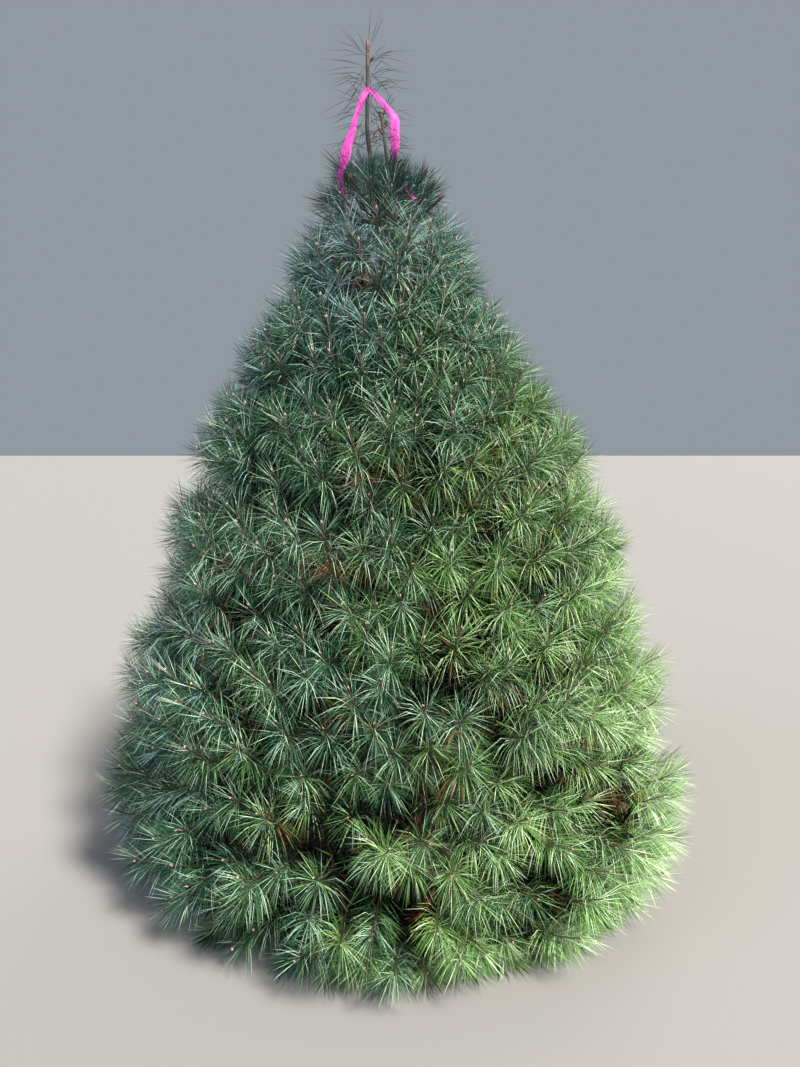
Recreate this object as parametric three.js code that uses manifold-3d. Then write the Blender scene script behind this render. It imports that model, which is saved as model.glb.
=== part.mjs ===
// Eastern white pine, sheared to a full cone as a seasonal tree and still rooted in the ground.
// Millimetres, +Z up, front towards -Y. The origin is the middle of the trunk's flat cut at
// ground level. The trunk runs whole from the ground to the tip of the leader. Boughs leave it in
// whorls, and each carries one mass of foliage that keeps to its own cell of the crown: a stem, a
// smaller core that fans out from it, and the sprays of needles on the ends of its shoots.
import * as THREE from "three";
import { mergeVertices } from "three/addons/utils/BufferGeometryUtils.js";
import Module from "manifold-3d";

const wasm = await Module();
wasm.setup();

const deg = Math.PI / 180;

// The real gap between a limb and what it carries.
const seatGap = 0.3;

// Radius of the crown at the needle tips, measured from the trunk, at each height.
const crownProfile = [
  [0, 760],
  [50, 845],
  [150, 900],
  [300, 918],
  [420, 915],
  [700, 850],
  [1000, 750],
  [1200, 682],
  [1420, 620],
  [1600, 516],
  [1780, 394],
  [1950, 336],
  [2100, 256],
  [2290, 190],
];

// Trunk and leader: height, offset to +X and to +Y, and radius.
const trunkStations = [
  [0, 0, 0, 58],
  [30, 0, 0, 50],
  [80, -1, 0, 45],
  [190, -3, 2, 42],
  [470, -10, 5, 38],
  [840, -20, 10, 33],
  [1180, -29, 12, 28],
  [1500, -38, 12, 23],
  [1790, -45, 10, 18],
  [2040, -50, 6, 14],
  [2085, -53, 5, 12],
  [2140, -68, 2, 8],
  [2220, -88, 0, 6.8],
  [2330, -101, -2, 6.2],
  [2450, -99, -2, 5.4],
  [2560, -97, 0, 4.6],
  [2575, -97, 0, 2.2],
];
const trunkSides = 10;

// Whorls from the ground up: the height where the boughs leave the trunk, their number, the
// azimuth of the first, the share of the crown's radius that the bare bough spans, and the cell's
// lower limit at the trunk (foot) and at the crown's edge (rim). Sprays stand in rows.
const whorls = [
  { at: 150, size: 1.2, boughs: 5, turn: 18, span: 0.34, foot: 14, rim: 8, rows: 3, across: 4, tilt: -2 },
  { at: 470, size: 1.2, boughs: 5, turn: 54, span: 0.32, foot: 320, rim: 530, rows: 3, across: 4, tilt: 18 },
  { at: 840, size: 1.15, boughs: 5, turn: 10, span: 0.32, foot: 670, rim: 955, rows: 3, across: 3, tilt: 26 },
  { at: 1180, size: 1.1, boughs: 4, turn: 52, span: 0.32, foot: 1010, rim: 1290, rows: 3, across: 4, tilt: 34 },
  { at: 1500, size: 0.95, boughs: 4, turn: 4, span: 0.3, foot: 1340, rim: 1590, rows: 2, across: 4, tilt: 42 },
  { at: 1790, size: 0.9, boughs: 3, turn: 40, span: 0.26, foot: 1640, rim: 1850, rows: 2, across: 5, tilt: 52 },
];
// Round the foot of the leader four tufts of upright shoots stand straight on the trunk.
const topTufts = { at: 2062, tufts: 4, turn: 35, foot: 1950, rim: 2085, top: 2330, shoots: 4 };
// Sparse needles clothe the leader, and one more upright shoot that stands close beside it.
const leaderNeedles = { from: 2205, to: 2562, wall: 3.4, bands: 9, share: 0.42, needle: 108 };
const sideShoot = {
  stations: [
    [2110, -30, -20, 5],
    [2210, -36, -30, 5],
    [2270, -42, -30, 4.6],
    [2335, -50, -28, 4.2],
    [2395, -58, -24, 3],
  ],
  share: 0.6,
  needle: 84,
};

// A spray is a shoot's slim core with a bundle of needles out of each of its faces.
const spray = {
  core: 78,
  radius: 12.5,
  rooted: 62,
  needle: 108,
  front: 19 * deg,
  side: 54 * deg,
};
const cellMargin = 6;
const core = { depth: 138, least: 60, bumps: 60, drawn: 30, margin: 6, across: 4, up: 2 };

const bark = new THREE.MeshStandardMaterial({ color: 0x6d6257, roughness: 0.95, metalness: 0 });
const limbBark = new THREE.MeshStandardMaterial({ color: 0x6b4636, roughness: 0.9, metalness: 0 });
const blueNeedles = new THREE.MeshStandardMaterial({ color: 0x3f6b58, roughness: 0.6, metalness: 0 });
const freshNeedles = new THREE.MeshStandardMaterial({ color: 0x6f9a5e, roughness: 0.6, metalness: 0 });

// A number from 0 to 1 that is always the same for the same three whole numbers.
function chance(mass, item, use) {
  const s = Math.sin(mass * 127.1 + item * 311.7 + use * 74.7) * 43758.5453;
  return s - Math.floor(s);
}

const mix = (a, b, t) => a + (b - a) * t;

// The row of a table at one height, by straight lines between its stations.
function tableAt(table, z) {
  const last = table.length - 1;
  if (z <= table[0][0]) return table[0];
  if (z >= table[last][0]) return table[last];
  const i = table.findIndex((row) => row[0] > z);
  const t = (z - table[i - 1][0]) / (table[i][0] - table[i - 1][0]);
  return table[i - 1].map((value, k) => mix(value, table[i][k], t));
}

const crownRadius = (z) => tableAt(crownProfile, z)[1];

// The crown leans with the trunk, and its cells are laid out round this straight line.
const leanLine = (z) => new THREE.Vector3(-0.0262 * z, 0.003 * z, z);

const bearing = (azimuth) => new THREE.Vector3(Math.sin(azimuth), -Math.cos(azimuth), 0);

// The place in the crown at an azimuth, a distance from the lean line and a height.
function crownPoint(azimuth, r, z) {
  return leanLine(z).addScaledVector(bearing(azimuth), r);
}

// Azimuth, distance and height of a point in the crown.
function crownPlace(p) {
  const c = leanLine(p.z);
  const x = p.x - c.x;
  const y = p.y - c.y;
  return { azimuth: Math.atan2(x, -y), r: Math.hypot(x, y), z: p.z };
}

// A point moved off a centre by an angle and a distance in the plane of two unit vectors.
function roundAbout(centre, u, v, angle, radius) {
  return centre.clone().addScaledVector(u, radius * Math.cos(angle)).addScaledVector(v, radius * Math.sin(angle));
}

// Two unit vectors square to a direction.
function squareTo(direction) {
  const size = [direction.x, direction.y, direction.z].map(Math.abs);
  const least = size.indexOf(Math.min(...size));
  const aside = new THREE.Vector3().setComponent(least, 1).cross(direction).normalize();
  return [aside, new THREE.Vector3().crossVectors(direction, aside)];
}

// A closed mesh from a list of points and a list of faces.
function closedGeometry(points, faces) {
  const geometry = new THREE.BufferGeometry();
  const numbers = points.flatMap((p) => p.toArray());
  geometry.setAttribute("position", new THREE.Float32BufferAttribute(numbers, 3));
  geometry.setIndex(faces.flat());
  return geometry;
}

// A limb: rings of the given radii square to a path, closed by flat ends.
function limbGeometry(path, radii, sides) {
  const [aside, above] = squareTo(path[path.length - 1].clone().sub(path[0]).normalize());
  const points = [];
  const faces = [];
  path.forEach((p, k) => {
    const along = path[Math.min(k + 1, path.length - 1)].clone().sub(path[Math.max(k - 1, 0)]).normalize();
    const u = above.clone().cross(along).normalize();
    const v = along.clone().cross(u);
    for (let i = 0; i < sides; i++) points.push(roundAbout(p, u, v, (i / sides) * 2 * Math.PI, radii[k]));
  });
  for (let k = 0; k + 1 < path.length; k++)
    for (let i = 0; i < sides; i++) {
      const j = (i + 1) % sides;
      const [a, b, c, d] = [k * sides + i, k * sides + j, (k + 1) * sides + j, (k + 1) * sides + i];
      faces.push([a, b, c], [a, c, d]);
    }
  const end = (path.length - 1) * sides;
  for (let i = 1; i + 1 < sides; i++) faces.push([0, i + 1, i], [end, end + i, end + i + 1]);
  return closedGeometry(points, faces);
}

const eastward = new THREE.Vector3(1, 0, 0);
const northward = new THREE.Vector3(0, 1, 0);

// The trunk's level rings, grown by a clearance where something has to stand clear of it.
function trunkGeometry(clearance) {
  const outward = clearance / Math.cos(Math.PI / trunkSides);
  const stations = trunkStations.map((row) => [...row]);
  stations[0][0] -= clearance;
  stations[stations.length - 1][0] += clearance;
  const points = [];
  const faces = [];
  for (const [z, x, y, r] of stations)
    for (let i = 0; i < trunkSides; i++) {
      const centre = new THREE.Vector3(x, y, z);
      points.push(roundAbout(centre, eastward, northward, (i / trunkSides) * 2 * Math.PI, r + outward));
    }
  for (let k = 0; k + 1 < stations.length; k++)
    for (let i = 0; i < trunkSides; i++) {
      const j = (i + 1) % trunkSides;
      const low = k * trunkSides;
      const high = low + trunkSides;
      faces.push([low + i, low + j, high + j], [low + i, high + j, high + i]);
    }
  const end = (stations.length - 1) * trunkSides;
  for (let i = 1; i + 1 < trunkSides; i++) faces.push([0, i + 1, i], [end, end + i, end + i + 1]);
  return closedGeometry(points, faces);
}

// A shoot: a three-sided twig, rooted well inside the core on the side of the stem, that widens to
// the slim core of its spray and ends in a point. The faces of the spray are drawn out to needle
// bundles, shorter or not at all where that would leave the space.
function shootGeometry(stem, root, direction, size, seed, fits) {
  const [aside, above] = squareTo(direction);
  const spin = chance(seed, 0, 0);
  const start = root.clone().add(stem.clone().sub(root).setLength(spray.rooted));
  const rings = [
    [start, 0.5, 0],
    [root, 1, 0],
    [root.clone().addScaledVector(direction, 0.5 * spray.core * size), 0.8, 0.5],
  ];
  const points = rings.flatMap(([centre, share, turn]) =>
    [0, 1, 2].map((i) => {
      const angle = ((i + turn) / 3 + spin) * 2 * Math.PI;
      return roundAbout(centre, aside, above, angle, spray.radius * share * size);
    }),
  );
  points.push(root.clone().addScaledVector(direction, spray.core * size));
  const faces = [[0, 2, 1]];
  const drawnOut = [];
  for (let i = 0; i < 3; i++) {
    const j = (i + 1) % 3;
    faces.push([i, j, 3 + j], [i, 3 + j, 3 + i]);
    faces.push([3 + i, 3 + j, 6 + i]);
    drawnOut.push([[3 + j, 6 + j, 6 + i], spray.side]);
    drawnOut.push([[6 + i, 6 + j, 9], spray.front]);
  }
  drawnOut.forEach(([face, lean], n) => {
    const [a, b, c] = face.map((index) => points[index]);
    const away = b.clone().sub(a).cross(c.clone().sub(a));
    away.addScaledVector(direction, -away.dot(direction)).normalize();
    const angle = lean + 0.16 * (chance(seed, n, 1) - 0.5);
    away.multiplyScalar(Math.sin(angle)).addScaledVector(direction, Math.cos(angle));
    const middle = a.clone().add(b).add(c).divideScalar(3);
    const length = spray.needle * size * mix(0.85, 1.1, chance(seed, n, 2));
    const found = [1, 0.8, 0.6].map((part) => middle.clone().addScaledVector(away, length * part)).find(fits);
    if (found) {
      points.push(found);
      const end = points.length - 1;
      faces.push([face[0], face[1], end], [face[1], face[2], end], [face[2], face[0], end]);
    } else faces.push(face);
  });
  return closedGeometry(points, faces);
}

// How far the core stays inside the crown's edge, less where the crown is slim.
const coreDepth = (z) => mix(core.least, core.depth, crownRadius(z) / 900);

// A smaller core that fans out from its stem: a bumpy face just inside the crown's edge, with its
// rim drawn in, closed by flat faces down to one point at the stem.
function coreGeometry(cell, apex, seed) {
  const { across, up } = core;
  const points = [];
  const faces = [];
  for (let j = 0; j <= up; j++)
    for (let i = 0; i <= across; i++) {
      const v = j / up;
      const rim = i % across === 0 || j % up === 0;
      let z = mix(cell.floorAt(500), cell.roofAt(500), v);
      let r = 0;
      for (let pass = 0; pass < 4; pass++) {
        const bump = (core.bumps * (chance(seed, points.length, 3) - 0.5) * crownRadius(z)) / 900;
        r = crownRadius(z) - coreDepth(z) - (rim ? core.drawn : 0) + bump;
        z = mix(cell.floorAt(r) + core.margin, cell.roofAt(r) - core.margin, v);
      }
      const half = (cell.to - cell.from) / 2 - core.margin / r;
      points.push(crownPoint(cell.middle + half * (2 * (i / across) - 1), r, z));
    }
  const top = points.length;
  points.push(apex);
  const at = (i, j) => j * (across + 1) + i;
  for (let j = 0; j < up; j++)
    for (let i = 0; i < across; i++) {
      faces.push([at(i, j), at(i + 1, j), at(i + 1, j + 1)]);
      faces.push([at(i, j), at(i + 1, j + 1), at(i, j + 1)]);
    }
  for (let i = 0; i < across; i++) {
    faces.push([at(i + 1, 0), at(i, 0), top], [at(i, up), at(i + 1, up), top]);
  }
  for (let j = 0; j < up; j++) {
    faces.push([at(0, j), at(0, j + 1), top], [at(across, j + 1), at(across, j), top]);
  }
  return closedGeometry(points, faces);
}

function solidOf(geometry) {
  const merged = mergeVertices(geometry.clone(), 1e-3);
  return new wasm.Manifold(
    new wasm.Mesh({
      numProp: 3,
      vertProperties: new Float32Array(merged.getAttribute("position").array),
      triVerts: new Uint32Array(merged.index.array),
    }),
  );
}

const join = (solids) => solids.reduce((whole, next) => whole.add(next));

// The largest closed body of a solid, with sealed hollows filled and loose scraps left off.
function largestBody(solid) {
  const whole = solid.decompose().sort((a, b) => b.volume() - a.volume())[0];
  const made = whole.getMesh();
  const geometry = new THREE.BufferGeometry();
  geometry.setAttribute("position", new THREE.BufferAttribute(made.vertProperties, 3));
  geometry.setIndex(new THREE.BufferAttribute(made.triVerts, 1));
  return geometry;
}

// The named mesh of a solid, placed in its whorl's group.
function meshOf(name, solid, material, home) {
  const geometry = largestBody(solidOf(largestBody(solid)));
  geometry.translate(-home.x, -home.y, -home.z);
  geometry.computeVertexNormals();
  const mesh = new THREE.Mesh(geometry, material);
  mesh.name = name;
  return mesh;
}

// The cell of one mass: between two upright planes through the lean line and two rising cones.
function cellOf(low, high, from, to) {
  const floorAt = (r) => mix(low.foot, low.rim, r / crownRadius(low.rim));
  const roofAt = (r) => mix(high.foot, high.rim, r / crownRadius(high.rim));
  const holds = (p, margin) => {
    const { azimuth, r, z } = crownPlace(p);
    if (z < floorAt(r) + margin || z > roofAt(r) - margin) return false;
    return r * Math.sin(azimuth - from) > margin && r * Math.sin(to - azimuth) > margin;
  };
  return { floorAt, roofAt, from, to, middle: (from + to) / 2, holds };
}

// The edge of the crown, drawn in where two whorls meet, most on the left side, and a little where
// two masses meet.
function edgeOf(cell, azimuth, z, seed) {
  const r = crownRadius(z);
  const v = (z - cell.floorAt(r)) / (cell.roofAt(r) - cell.floorAt(r));
  const u = (azimuth - cell.from) / (cell.to - cell.from);
  const fullness = mix(1, 1.03, chance(seed, 0, 4));
  const notch = 0.03 + 0.09 * Math.max(0, -Math.sin(azimuth)) * (z < 1200);
  return r * fullness * (1 - notch * (2 * v - 1) ** 4 - 0.03 * (2 * u - 1) ** 4);
}

// How far a shoot rises from level, by its whorl's tilt and its row in the mass.
const riseOf = (tilt, v) => (tilt + mix(-14, 12, v)) * deg;

// The places of a mass's sprays: rows from its floor to its roof, every other one shifted.
function sprayPlaces(cell, whorl, seed) {
  const places = [];
  for (let row = 0; row < whorl.rows; row++) {
    const count = whorl.across - (row % 2);
    for (let i = 0; i < count; i++) {
      const n = places.length;
      const u = (i + 0.5 + 0.3 * (chance(seed, n, 5) - 0.5)) / count;
      const v = (row + 0.55 + 0.3 * (chance(seed, n, 6) - 0.5)) / (whorl.rows + 0.1);
      const azimuth = mix(cell.from, cell.to, u);
      const r0 = crownRadius(mix(whorl.rim, cell.roofAt(crownRadius(whorl.rim)), v));
      const z = mix(cell.floorAt(r0), cell.roofAt(r0), v);
      const rise = riseOf(whorl.tilt, v);
      const heading = azimuth + 0.25 * (chance(seed, n, 7) - 0.5);
      const direction = bearing(heading).multiplyScalar(Math.cos(rise));
      direction.z = Math.sin(rise);
      const tip = crownPoint(azimuth, edgeOf(cell, azimuth, z, seed), z);
      const reach = whorl.size * (0.67 * spray.core + 0.9 * spray.needle * Math.cos(spray.front));
      places.push({ root: tip.addScaledVector(direction, -reach), direction, seed: seed * 50 + n });
    }
  }
  return places;
}

const trunkClear = solidOf(trunkGeometry(seatGap));

// The path of a bare bough, which leaves the trunk low and turns up towards its tip.
function boughPath(whorl, azimuth) {
  const [z, x, y] = tableAt(trunkStations, whorl.at);
  const start = new THREE.Vector3(x, y, z);
  const reach = whorl.span * crownRadius(whorl.at + 200);
  const rise = (whorl.tilt * 0.55 + 8) * deg;
  const out = bearing(azimuth);
  return [0, 0.55, 1].map((t) => {
    const p = start.clone().addScaledVector(out, reach * t);
    p.z += reach * t * (Math.tan(rise) + 0.12 * t);
    return p;
  });
}

// One bough with the mass of foliage at its tip, as two solids.
function boughAndMass(whorl, cell, seed) {
  const path = boughPath(whorl, cell.middle);
  const thick = mix(15, 8, whorl.at / 1790);
  const radii = [thick * 1.3, thick, thick * 0.7];
  const grown = radii.map((r) => r + seatGap / Math.cos(Math.PI / 6));
  const boughClear = solidOf(limbGeometry(stretched(path), grown, 6));
  const bough = solidOf(limbGeometry(path, radii, 6)).subtract(trunkClear);
  const tip = path[path.length - 1];
  const along = tip.clone().sub(path[path.length - 2]).normalize();
  const apex = tip.clone().addScaledVector(along, 24);
  const stem = [tip.clone().addScaledVector(along, -4), tip.clone().addScaledVector(along, 90)];
  const solids = [
    solidOf(limbGeometry(stem, [0.95 * radii[2], 0.8 * radii[2]], 5)),
    solidOf(coreGeometry(cell, apex, seed)),
  ];
  const fits = (p) => {
    const { r, z } = crownPlace(p);
    return cell.holds(p, cellMargin) && z > 8 && r > crownRadius(z) - coreDepth(z);
  };
  for (const { root, direction, seed: own } of sprayPlaces(cell, whorl, seed)) {
    if (cell.holds(root, 14)) solids.push(solidOf(shootGeometry(apex, root, direction, whorl.size, own, fits)));
  }
  return { bough, mass: join(solids).subtract(boughClear) };
}

// One tuft round the leader's foot: a short stem from the trunk, a small core and upright shoots.
function tuftSolid(index, seed) {
  const width = (2 * Math.PI) / topTufts.tufts;
  const from = topTufts.turn * deg + index * width;
  const roof = { foot: topTufts.top, rim: topTufts.top };
  const cell = cellOf(topTufts, roof, from, from + width);
  const fits = (p) => cell.holds(p, 4) && crownPlace(p).r < crownRadius(p.z) + 20;
  const [z, x, y] = tableAt(trunkStations, topTufts.at);
  const start = new THREE.Vector3(x, y, z);
  const middle = crownPoint(cell.middle, 96, 2062);
  const lump = new THREE.IcosahedronGeometry(44, 0).translate(...middle.toArray());
  lump.deleteAttribute("normal");
  lump.deleteAttribute("uv");
  const solids = [solidOf(limbGeometry([start, middle], [9, 7], 5)), solidOf(mergeVertices(lump))];
  for (let n = 0; n < topTufts.shoots; n++) {
    const outer = n % 2;
    const azimuth = mix(cell.from, cell.to, (Math.floor(n / 2) + 0.5) / (topTufts.shoots / 2));
    const root = crownPoint(azimuth, outer ? 122 : 84, outer ? 2062 : 2072);
    const rise = (outer ? 50 : 80) * deg;
    const direction = bearing(azimuth).multiplyScalar(Math.cos(rise)).setZ(Math.sin(rise));
    solids.push(solidOf(shootGeometry(middle, root, direction, outer ? 1 : 1.15, seed * 50 + n, fits)));
  }
  return join(solids).subtract(trunkClear);
}

// The same path with its tip moved on by the seat gap.
function stretched(path) {
  const [a, b] = path.slice(-2);
  return [...path.slice(0, -1), b.clone().addScaledVector(b.clone().sub(a).normalize(), seatGap)];
}

// An upright stem of six sides whose faces are here and there drawn out to a needle, where those
// needles have room.
function needledStem(path, radii, seed, share, needle, hasRoom) {
  const sides = 6;
  const plain = limbGeometry(path, radii, sides);
  const position = plain.getAttribute("position");
  const points = [];
  for (let i = 0; i < position.count; i++) points.push(new THREE.Vector3().fromBufferAttribute(position, i));
  const faces = [];
  const index = plain.index.array;
  const drawn = 2 * sides * (path.length - 1);
  for (let n = 0; n < index.length / 3; n++) {
    const face = [index[3 * n], index[3 * n + 1], index[3 * n + 2]];
    const [a, b, c] = face.map((k) => points[k]);
    const away = b.clone().sub(a).cross(c.clone().sub(a)).normalize();
    const middle = a.clone().add(b).add(c).divideScalar(3);
    if (n >= drawn || chance(seed, n, 8) > share || !hasRoom(middle, away)) {
      faces.push(face);
      continue;
    }
    away.z += mix(0, 0.8, chance(seed, n, 9)) + (n >= drawn - 2 * sides ? 3 : 0);
    points.push(middle.addScaledVector(away.normalize(), needle * mix(0.75, 1.05, chance(seed, n, 10))));
    const end = points.length - 1;
    faces.push([face[0], face[1], end], [face[1], face[2], end], [face[2], face[0], end]);
  }
  return closedGeometry(points, faces);
}

// The needles that clothe the leader: a thin sleeve, clear of the leader all round.
function leaderSleeve() {
  const path = [];
  const radii = [];
  for (let k = 0; k <= leaderNeedles.bands; k++) {
    const z = mix(leaderNeedles.from, leaderNeedles.to, k / leaderNeedles.bands);
    const [, x, y, r] = tableAt(trunkStations, z);
    path.push(new THREE.Vector3(x, y, z));
    radii.push(r + leaderNeedles.wall);
  }
  const hasRoom = (p, away) => p.z > 2400 || away.x - away.y < 0.5;
  const sleeve = needledStem(path, radii, 71, leaderNeedles.share, leaderNeedles.needle, hasRoom);
  return solidOf(sleeve).subtract(trunkClear);
}

// The second upright shoot, which leaves the trunk just under the leader's bend.
function sideShootSolid(leader) {
  const path = sideShoot.stations.map(([z, x, y]) => new THREE.Vector3(x, y, z));
  const radii = sideShoot.stations.map((row) => row[3]);
  const foot = new THREE.Vector3(-50, 4, 2070);
  const hasRoom = (p, away) => p.z > 2215 && away.x - away.y > 0.2;
  const stem = needledStem([foot, ...path], [6, ...radii], 83, sideShoot.share, sideShoot.needle, hasRoom);
  return solidOf(stem).subtract(trunkClear).subtract(leader);
}

const tree = new THREE.Group();
const origin = new THREE.Vector3();
tree.add(meshOf("trunk", solidOf(trunkGeometry(0)), bark, origin));

const levels = [...whorls, topTufts];
let seed = 0;
whorls.forEach((whorl, level) => {
  const home = new THREE.Vector3(0, 0, whorl.at);
  const group = new THREE.Group();
  group.position.copy(home);
  tree.add(group);
  for (let i = 0; i < whorl.boughs; i++) {
    seed += 1;
    const from = (whorl.turn + (i * 360) / whorl.boughs) * deg;
    const to = from + (2 * Math.PI) / whorl.boughs;
    const cell = cellOf(whorl, levels[level + 1], from, to);
    const { bough, mass } = boughAndMass(whorl, cell, seed);
    const lit = Math.sin(cell.middle) > 0.1 && whorl.at < 1400;
    const label = `${level + 1}_${i + 1}`;
    group.add(meshOf(`bough_${label}`, bough, limbBark, home));
    group.add(meshOf(`foliage_${label}`, mass, lit ? freshNeedles : blueNeedles, home));
  }
});

// The group of tufts, leader needles and side shoot above the last whorl.
const sleeve = leaderSleeve();
const side = sideShootSolid(sleeve);
const uprights = sleeve.add(side);
const topHome = new THREE.Vector3(0, 0, topTufts.at);
const topGroup = new THREE.Group();
topGroup.position.copy(topHome);
tree.add(topGroup);
topGroup.add(meshOf("leader_needles", sleeve, blueNeedles, topHome));
topGroup.add(meshOf("side_shoot", side, blueNeedles, topHome));
for (let i = 0; i < topTufts.tufts; i++) {
  seed += 1;
  topGroup.add(meshOf(`top_tuft_${i + 1}`, tuftSolid(i, seed).subtract(uprights), blueNeedles, topHome));
}

export default tree;
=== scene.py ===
import math

import bpy
import numpy as np
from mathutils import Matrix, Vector


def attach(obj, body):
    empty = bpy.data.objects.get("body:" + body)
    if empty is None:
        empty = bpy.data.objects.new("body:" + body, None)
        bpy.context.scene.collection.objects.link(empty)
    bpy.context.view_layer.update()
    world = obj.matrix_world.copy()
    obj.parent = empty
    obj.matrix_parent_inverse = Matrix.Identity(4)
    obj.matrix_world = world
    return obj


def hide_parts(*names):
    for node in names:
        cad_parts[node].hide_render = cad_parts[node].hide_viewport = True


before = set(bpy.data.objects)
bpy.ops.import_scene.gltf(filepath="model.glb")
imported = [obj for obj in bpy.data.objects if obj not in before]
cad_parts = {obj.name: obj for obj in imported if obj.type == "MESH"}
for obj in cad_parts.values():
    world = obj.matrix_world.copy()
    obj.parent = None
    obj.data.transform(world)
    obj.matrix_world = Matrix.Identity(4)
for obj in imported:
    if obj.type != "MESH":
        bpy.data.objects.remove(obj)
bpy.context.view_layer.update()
nodeNames = sorted(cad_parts)
degree = math.pi / 180
goldenTurn = math.pi * (3 - math.sqrt(5))
up = np.array([0.0, 0.0, 1.0])
wholeTurn = 6.28  # near enough a whole turn, where chance deals it out
leanWest, leanBack = 0.0262, 0.003  # how far the crown's middle line leans to -X and +Y in a metre

# height and crown radius at the needle tips, as in the solids
crownProfile = np.array([
    (0, 0.760), (0.05, 0.845), (0.15, 0.900), (0.30, 0.918), (0.42, 0.915), (0.70, 0.850), (1.00, 0.750),
    (1.20, 0.682), (1.42, 0.620), (1.60, 0.516), (1.78, 0.394), (1.95, 0.336), (2.10, 0.256), (2.29, 0.190),
])

# trunk and leader: height, offsets to +X and +Y, radius
trunkStations = np.array([
    (0, 0, 0, 0.058), (0.03, 0, 0, 0.050), (0.08, -0.001, 0, 0.045), (0.19, -0.003, 0.002, 0.042),
    (0.47, -0.010, 0.005, 0.038), (0.84, -0.020, 0.010, 0.033), (1.18, -0.029, 0.012, 0.028),
    (1.50, -0.038, 0.012, 0.023), (1.79, -0.045, 0.010, 0.018), (2.04, -0.050, 0.006, 0.014),
    (2.085, -0.053, 0.005, 0.012), (2.14, -0.068, 0.002, 0.008), (2.22, -0.088, 0, 0.0068),
    (2.33, -0.101, -0.002, 0.0062), (2.45, -0.099, -0.002, 0.0054), (2.56, -0.097, 0, 0.0046),
    (2.575, -0.097, 0, 0.0022),
])

# whorls from the ground up: span is the boughs' bare part as a share of the crown, foot and rim are
# the cells' floor at the trunk and at the crown's edge, and tilt is the rise of the shoots
whorlColumns = ("at", "boughs", "turn", "span", "foot", "rim", "rows", "across", "tilt")
whorls = [dict(zip(whorlColumns, row)) for row in (
    (0.150, 5, 18, 0.34, 0.014, 0.008, 5, 10, -2),
    (0.470, 5, 54, 0.32, 0.320, 0.530, 4, 10, 18),
    (0.840, 5, 10, 0.32, 0.670, 0.955, 3, 9, 26),
    (1.180, 4, 52, 0.32, 1.010, 1.290, 3, 9, 34),
    (1.500, 4, 4, 0.30, 1.340, 1.590, 3, 7, 42),
    (1.790, 3, 40, 0.26, 1.640, 1.850, 3, 7, 52),
)]
topFloor = dict(foot=1.950, rim=2.085)
topLevel = len(whorls)


def mix(a, b, t):
    return a + (b - a) * t


# how far the sine below moves on for each of the three numbers, and its height
chanceSteps, chanceHeight = (127.1, 311.7, 74.7), 43758.5453


# the fraction of a large sine: always the same number from 0 to 1 for the same three numbers
def chance(plant, item, use):
    a, b, c = chanceSteps
    wave = np.sin(np.asarray(plant) * a + np.asarray(item) * b + use * c) * chanceHeight
    return wave - np.floor(wave)


def crownRadius(z):
    return np.interp(z, crownProfile[:, 0], crownProfile[:, 1])


# a point at an azimuth, a distance from the leaning middle line and a height; 0 faces the front
def crownPoint(azimuth, r, z):
    azimuth, r, z = np.broadcast_arrays(azimuth, r, z)
    return np.stack([-leanWest * z + r * np.sin(azimuth), leanBack * z - r * np.cos(azimuth), z], -1)


# how far points are from the leaning middle line, to +X and to +Y
def fromMiddle(points):
    return points[..., 0] + leanWest * points[..., 2], points[..., 1] - leanBack * points[..., 2]


# a unit vector at an azimuth and a rise above level
def heading(azimuth, rise):
    azimuth, rise = np.broadcast_arrays(azimuth, rise)
    return np.stack([np.sin(azimuth) * np.cos(rise), -np.cos(azimuth) * np.cos(rise), np.sin(rise)], -1)


def unit(v):
    return v / np.maximum(np.linalg.norm(v, axis=-1, keepdims=True), 1e-9)


# two unit vectors square to each direction: its cross product with the axis it leans on least
def squareTo(direction):
    least = np.argmin(np.abs(direction), -1)
    aside = unit(np.cross(np.eye(3)[least], direction))
    return aside, np.cross(direction, aside)


# the first of two square vectors, turned by an angle towards the second
def turned(angle, first, second):
    return np.cos(angle) * first + np.sin(angle) * second


# hashed numbers on a grid, blended smoothly between its corners and closed in u
def gridNoise(u, v, cells, seed):
    u = u * cells
    lowU, lowV = np.floor(u), np.floor(v)
    partU, partV = u - lowU, v - lowV
    partU, partV = partU**2 * (3 - 2 * partU), partV**2 * (3 - 2 * partV)
    nextU = np.mod(lowU + 1, cells)
    low = mix(chance(lowU, lowV, seed), chance(nextU, lowV, seed), partU)
    high = mix(chance(lowU, lowV + 1, seed), chance(nextU, lowV + 1, seed), partU)
    return mix(low, high, partV) * 2 - 1


# smooth curves through given points, a curve a row: each stretch is a cubic whose slope at a
# point is half the step between its two neighbours
def curvesThrough(points, count):
    points = np.asarray(points, float)
    last = points.shape[1] - 1
    t = np.linspace(0, last, count)
    i = np.minimum(np.floor(t).astype(int), last - 1)
    f = (t - i)[None, :, None]
    a, b, c, d = (points[:, np.clip(i + k, 0, last)] for k in (-1, 0, 1, 2))
    return 0.5 * (2 * b + (c - a) * f + (2 * a - 5 * b + 4 * c - d) * f**2 + (3 * b - a - 3 * c + d) * f**3)


# a share of sRGB light to linear light
def linear(value):
    return value / 12.92 if value <= 0.04045 else ((value + 0.055) / 1.055) ** 2.4


# sRGB hex to linear colour with full alpha
def colour(text):
    return [linear(int(text[i : i + 2], 16) / 255) for i in (1, 3, 5)] + [1.0]


def addNode(tree, kind, links=None, **settings):
    node = tree.nodes.new(kind)
    for name, value in settings.items():
        setattr(node, name, value)
    for socket, value in (links or {}).items():
        if isinstance(value, bpy.types.NodeSocket):
            tree.links.new(value, node.inputs[socket])
        else:
            node.inputs[socket].default_value = value
    return node


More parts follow.
